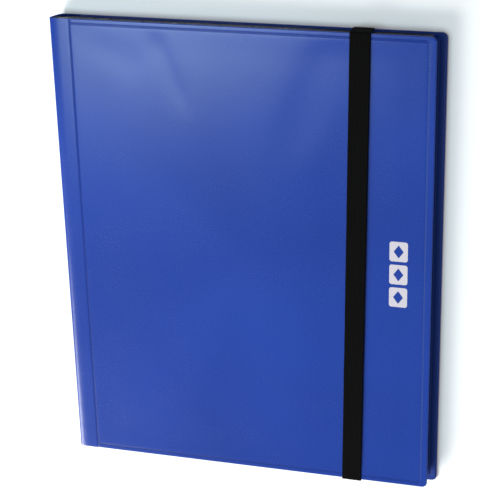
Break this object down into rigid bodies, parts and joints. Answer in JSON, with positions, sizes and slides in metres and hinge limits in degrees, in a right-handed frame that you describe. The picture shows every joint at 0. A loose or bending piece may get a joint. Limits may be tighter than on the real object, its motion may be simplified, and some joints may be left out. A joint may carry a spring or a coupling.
{
  "type": "trading card binder",
  "caption": "Slim card binder with a padded wraparound cover, pocket pages bound to the spine and an elastic strap that holds it shut.",
  "frame": {"origin": "middle of the closed binder, on the surface that its back cover lies on", "axes": "+X from the spine to the fore-edge, +Y along the spine from the bottom edge to the top edge, +Z from the back cover to the front cover"},
  "size_m": [0.2486, 0.3078, 0.0127],
  "materials": {
    "cover_skin": "satin",
    "cover_lining": "satin",
    "cover_board": "matte",
    "page_film": "gloss",
    "binding_strip": "satin",
    "strap_elastic": "matte"
  },
  "bodies": {
    "back_cover": {"back_cover_skin": "cover_skin", "back_cover_board": "cover_board", "back_cover_lining": "cover_lining", "strap_end_top": "strap_elastic", "strap_end_bottom": "strap_elastic"},
    "spine": {"spine_skin": "cover_skin", "binding_strip": "binding_strip"},
    "front_cover": {"front_cover_skin": "cover_skin", "front_cover_board": "cover_board", "front_cover_lining": "cover_lining"},
    "page_01": {"page_01": "page_film"},
    "page_02": {"page_02": "page_film"},
    "page_03": {"page_03": "page_film"},
    "page_04": {"page_04": "page_film"},
    "page_05": {"page_05": "page_film"},
    "page_06": {"page_06": "page_film"},
    "page_07": {"page_07": "page_film"},
    "page_08": {"page_08": "page_film"},
    "page_09": {"page_09": "page_film"},
    "page_10": {"page_10": "page_film"},
    "page_11": {"page_11": "page_film"},
    "page_12": {"page_12": "page_film"},
    "page_13": {"page_13": "page_film"},
    "page_14": {"page_14": "page_film"},
    "page_15": {"page_15": "page_film"},
    "page_16": {"page_16": "page_film"},
    "page_17": {"page_17": "page_film"},
    "page_18": {"page_18": "page_film"},
    "page_19": {"page_19": "page_film"},
    "page_20": {"page_20": "page_film"},
    "strap": {"elastic_strap": "strap_elastic"}
  },
  "joints": [
    {"name": "back_fold", "type": "hinge", "parent": "back_cover", "child": "spine", "pos_m": [-0.12052, 0, 0], "axis": [0, -1, 0], "range_deg": [0, 68.33]},
    {"name": "front_cover_open", "type": "hinge", "parent": "spine", "child": "front_cover", "pos_m": [-0.12522, 0, 0.0118], "axis": [0, -1, 0], "range_deg": [0, 111.72]},
    {"name": "page_01_turn", "type": "hinge", "parent": "spine", "child": "page_01", "pos_m": [-0.1186, 0, 0.0076], "axis": [0, -1, 0], "range_deg": [0, 111.55]},
    {"name": "page_02_turn", "type": "hinge", "parent": "spine", "child": "page_02", "pos_m": [-0.1186, 0, 0.0076], "axis": [0, -1, 0], "range_deg": [0, 111.3]},
    {"name": "page_03_turn", "type": "hinge", "parent": "spine", "child": "page_03", "pos_m": [-0.1186, 0, 0.0076], "axis": [0, -1, 0], "range_deg": [0, 111.05]},
    {"name": "page_04_turn", "type": "hinge", "parent": "spine", "child": "page_04", "pos_m": [-0.1186, 0, 0.0076], "axis": [0, -1, 0], "range_deg": [0, 110.8]},
    {"name": "page_05_turn", "type": "hinge", "parent": "spine", "child": "page_05", "pos_m": [-0.1186, 0, 0.0076], "axis": [0, -1, 0], "range_deg": [0, 110.55]},
    {"name": "page_06_turn", "type": "hinge", "parent": "spine", "child": "page_06", "pos_m": [-0.1186, 0, 0.0076], "axis": [0, -1, 0], "range_deg": [0, 110.3]},
    {"name": "page_07_turn", "type": "hinge", "parent": "spine", "child": "page_07", "pos_m": [-0.1186, 0, 0.0076], "axis": [0, -1, 0], "range_deg": [0, 110.06]},
    {"name": "page_08_turn", "type": "hinge", "parent": "spine", "child": "page_08", "pos_m": [-0.1186, 0, 0.0076], "axis": [0, -1, 0], "range_deg": [0, 109.81]},
    {"name": "page_09_turn", "type": "hinge", "parent": "spine", "child": "page_09", "pos_m": [-0.1186, 0, 0.0076], "axis": [0, -1, 0], "range_deg": [0, 109.56]},
    {"name": "page_10_turn", "type": "hinge", "parent": "spine", "child": "page_10", "pos_m": [-0.1186, 0, 0.0076], "axis": [0, -1, 0], "range_deg": [0, 109.31]},
    {"name": "page_11_turn", "type": "hinge", "parent": "spine", "child": "page_11", "pos_m": [-0.11766, 0, 0.0041], "axis": [0, 1, 0], "range_deg": [0, 66.99]},
    {"name": "page_12_turn", "type": "hinge", "parent": "spine", "child": "page_12", "pos_m": [-0.11766, 0, 0.0041], "axis": [0, 1, 0], "range_deg": [0, 67.14]},
    {"name": "page_13_turn", "type": "hinge", "parent": "spine", "child": "page_13", "pos_m": [-0.11766, 0, 0.0041], "axis": [0, 1, 0], "range_deg": [0, 67.29]},
    {"name": "page_14_turn", "type": "hinge", "parent": "spine", "child": "page_14", "pos_m": [-0.11766, 0, 0.0041], "axis": [0, 1, 0], "range_deg": [0, 67.44]},
    {"name": "page_15_turn", "type": "hinge", "parent": "spine", "child": "page_15", "pos_m": [-0.11766, 0, 0.0041], "axis": [0, 1, 0], "range_deg": [0, 67.59]},
    {"name": "page_16_turn", "type": "hinge", "parent": "spine", "child": "page_16", "pos_m": [-0.11766, 0, 0.0041], "axis": [0, 1, 0], "range_deg": [0, 67.74]},
    {"name": "page_17_turn", "type": "hinge", "parent": "spine", "child": "page_17", "pos_m": [-0.11766, 0, 0.0041], "axis": [0, 1, 0], "range_deg": [0, 67.89]},
    {"name": "page_18_turn", "type": "hinge", "parent": "spine", "child": "page_18", "pos_m": [-0.11766, 0, 0.0041], "axis": [0, 1, 0], "range_deg": [0, 68.03]},
    {"name": "page_19_turn", "type": "hinge", "parent": "spine", "child": "page_19", "pos_m": [-0.11766, 0, 0.0041], "axis": [0, 1, 0], "range_deg": [0, 68.18]},
    {"name": "page_20_turn", "type": "hinge", "parent": "spine", "child": "page_20", "pos_m": [-0.11766, 0, 0.0041], "axis": [0, 1, 0], "range_deg": [0, 68.33]},
    {"name": "strap_stow", "type": "slide", "parent": "back_cover", "child": "strap", "axis": [0, 0, -1], "range_m": [0, 0.01276], "deforming": ["elastic_strap"]}
  ],
  "couplings": [
    {"joint": "back_fold", "follows": "front_cover_open", "ratio": 0.6112},
    {"joint": "page_01_turn", "follows": "front_cover_open", "ratio": 0.998},
    {"joint": "page_02_turn", "follows": "front_cover_open", "ratio": 0.99578},
    {"joint": "page_03_turn", "follows": "front_cover_open", "ratio": 0.99356},
    {"joint": "page_04_turn", "follows": "front_cover_open", "ratio": 0.99133},
    {"joint": "page_05_turn", "follows": "front_cover_open", "ratio": 0.98911},
    {"joint": "page_06_turn", "follows": "front_cover_open", "ratio": 0.98689},
    {"joint": "page_07_turn", "follows": "front_cover_open", "ratio": 0.98467},
    {"joint": "page_08_turn", "follows": "front_cover_open", "ratio": 0.98244},
    {"joint": "page_09_turn", "follows": "front_cover_open", "ratio": 0.98022},
    {"joint": "page_10_turn", "follows": "front_cover_open", "ratio": 0.978},
    {"joint": "page_11_turn", "follows": "front_cover_open", "ratio": 0.5992},
    {"joint": "page_12_turn", "follows": "front_cover_open", "ratio": 0.60053},
    {"joint": "page_13_turn", "follows": "front_cover_open", "ratio": 0.60187},
    {"joint": "page_14_turn", "follows": "front_cover_open", "ratio": 0.6032},
    {"joint": "page_15_turn", "follows": "front_cover_open", "ratio": 0.60453},
    {"joint": "page_16_turn", "follows": "front_cover_open", "ratio": 0.60587},
    {"joint": "page_17_turn", "follows": "front_cover_open", "ratio": 0.6072},
    {"joint": "page_18_turn", "follows": "front_cover_open", "ratio": 0.60853},
    {"joint": "page_19_turn", "follows": "front_cover_open", "ratio": 0.60987},
    {"joint": "page_20_turn", "follows": "front_cover_open", "ratio": 0.6112},
    {"joint": "strap_stow", "follows": "front_cover_open", "m_per_rad": 0.006539}
  ]
}
